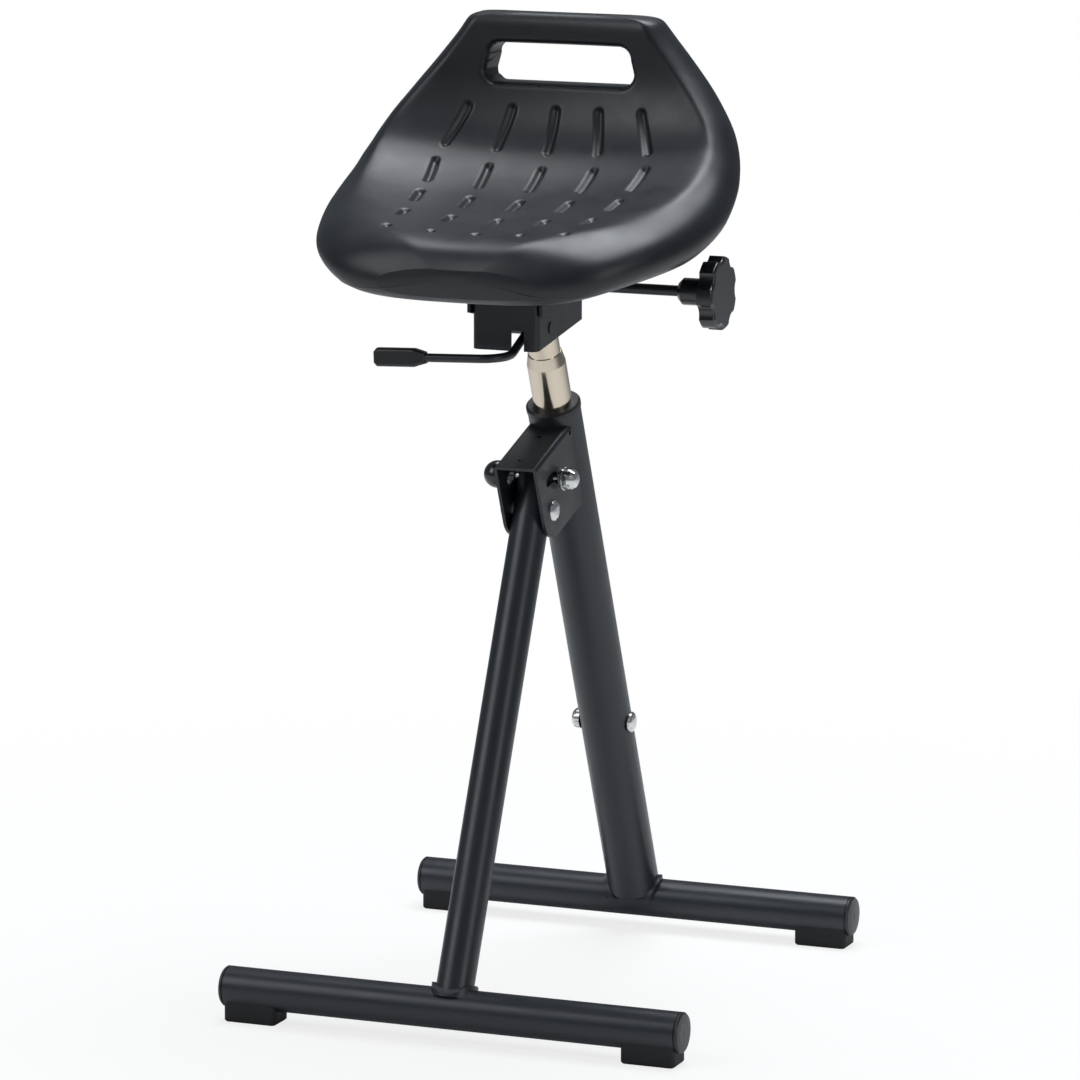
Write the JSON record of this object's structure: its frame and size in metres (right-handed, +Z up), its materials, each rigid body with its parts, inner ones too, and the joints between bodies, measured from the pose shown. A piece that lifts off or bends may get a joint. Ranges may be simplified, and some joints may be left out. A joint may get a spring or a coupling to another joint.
{
  "type": "perch_stool",
  "caption": "Folding perch stool with a grooved foam seat, tilt knob, gas-spring column and a hinged front leg",
  "frame": {"origin": "On the floor, midway between the two floor bars, in the middle of their length", "axes": "+X along the floor bars, to the right for a person facing the front of the seat; +Y to the back; +Z up"},
  "size_m": [0.454, 0.509, 0.9173],
  "materials": {
    "black_coat": "satin",
    "black_plastic": "satin",
    "gloss_black_plastic": "glossy",
    "black_rubber": "matte",
    "zinc_steel": "bright",
    "chrome_steel": "polished",
    "black_foam": "satin"
  },
  "bodies": {
    "rear_frame": {"rear_floor_bar": "black_coat", "rear_end_caps": "black_plastic", "rear_foot_pads": "black_rubber", "mast_weld": "black_coat", "mast_tube": "black_coat", "guide_bush": "black_plastic", "hinge_bracket": "black_coat", "cross_bolt": "zinc_steel", "cross_nut": "zinc_steel", "pivot_bolt": "zinc_steel", "pivot_nut": "zinc_steel", "piston_rod": "chrome_steel", "piston": "zinc_steel"},
    "front_frame": {"front_floor_bar": "black_coat", "front_end_caps": "black_plastic", "front_foot_pads": "black_rubber", "leg_weld": "black_coat", "front_leg": "black_coat", "pivot_sleeve": "zinc_steel", "leg_plug": "black_plastic"},
    "lock": {"lock_pin": "zinc_steel", "lock_washer": "zinc_steel", "lock_nut": "zinc_steel", "lock_knob": "gloss_black_plastic"},
    "column": {"chrome_column": "chrome_steel", "gas_cylinder": "chrome_steel", "cylinder_socket": "black_coat", "seat_housing": "black_coat", "lever_pin": "black_coat"},
    "button": {"release_button": "zinc_steel"},
    "lever": {"lever_sleeve": "black_coat", "lever_tongue": "black_coat", "lever_rod": "black_coat", "lever_grip": "black_plastic"},
    "knob": {"tilt_rod": "black_coat", "star_knob": "gloss_black_plastic"},
    "seat": {"seat_bracket": "black_coat", "tilt_washers": "zinc_steel", "tilt_nut": "zinc_steel", "seat_plate": "black_coat", "seat_screws": "zinc_steel", "seat_shell": "black_foam"}
  },
  "joints": [
    {"name": "leg_fold", "type": "hinge", "parent": "rear_frame", "child": "front_frame", "pos_m": [0, -0.03981, 0.46091], "axis": [1, 0, 0], "range_deg": [0, 47]},
    {"name": "lock_pull", "type": "slide", "parent": "front_frame", "child": "lock", "axis": [-1, 0, 0], "range_m": [0, 0.004], "stiffness_N_per_m": 800, "springref_m": -0.004},
    {"name": "height", "type": "slide", "parent": "rear_frame", "child": "column", "axis": [0, -0.3927, 0.9197], "range_m": [-0.045, 0.11]},
    {"name": "button_press", "type": "slide", "parent": "column", "child": "button", "axis": [0, 0.3927, -0.9197], "range_m": [0, 0.0045], "stiffness_N_per_m": 2000, "springref_m": -0.001},
    {"name": "lever_lift", "type": "hinge", "parent": "column", "child": "lever", "pos_m": [0, -0.07513, 0.63709], "axis": [-1, 0, 0], "range_deg": [0, 5], "stiffness_Nm_per_rad": 1.5, "springref_deg": -8.59},
    {"name": "knob_turn", "type": "hinge", "parent": "column", "child": "knob", "pos_m": [0, -0.028, 0.671], "axis": [1, 0, 0], "continuous": true},
    {"name": "seat_tilt", "type": "hinge", "parent": "column", "child": "seat", "pos_m": [0, -0.028, 0.671], "axis": [1, 0, 0], "range_deg": [-10, 8]}
  ],
  "couplings": [
    {"joint": "button_press", "follows": "lever_lift", "m_per_rad": 0.048}
  ]
}
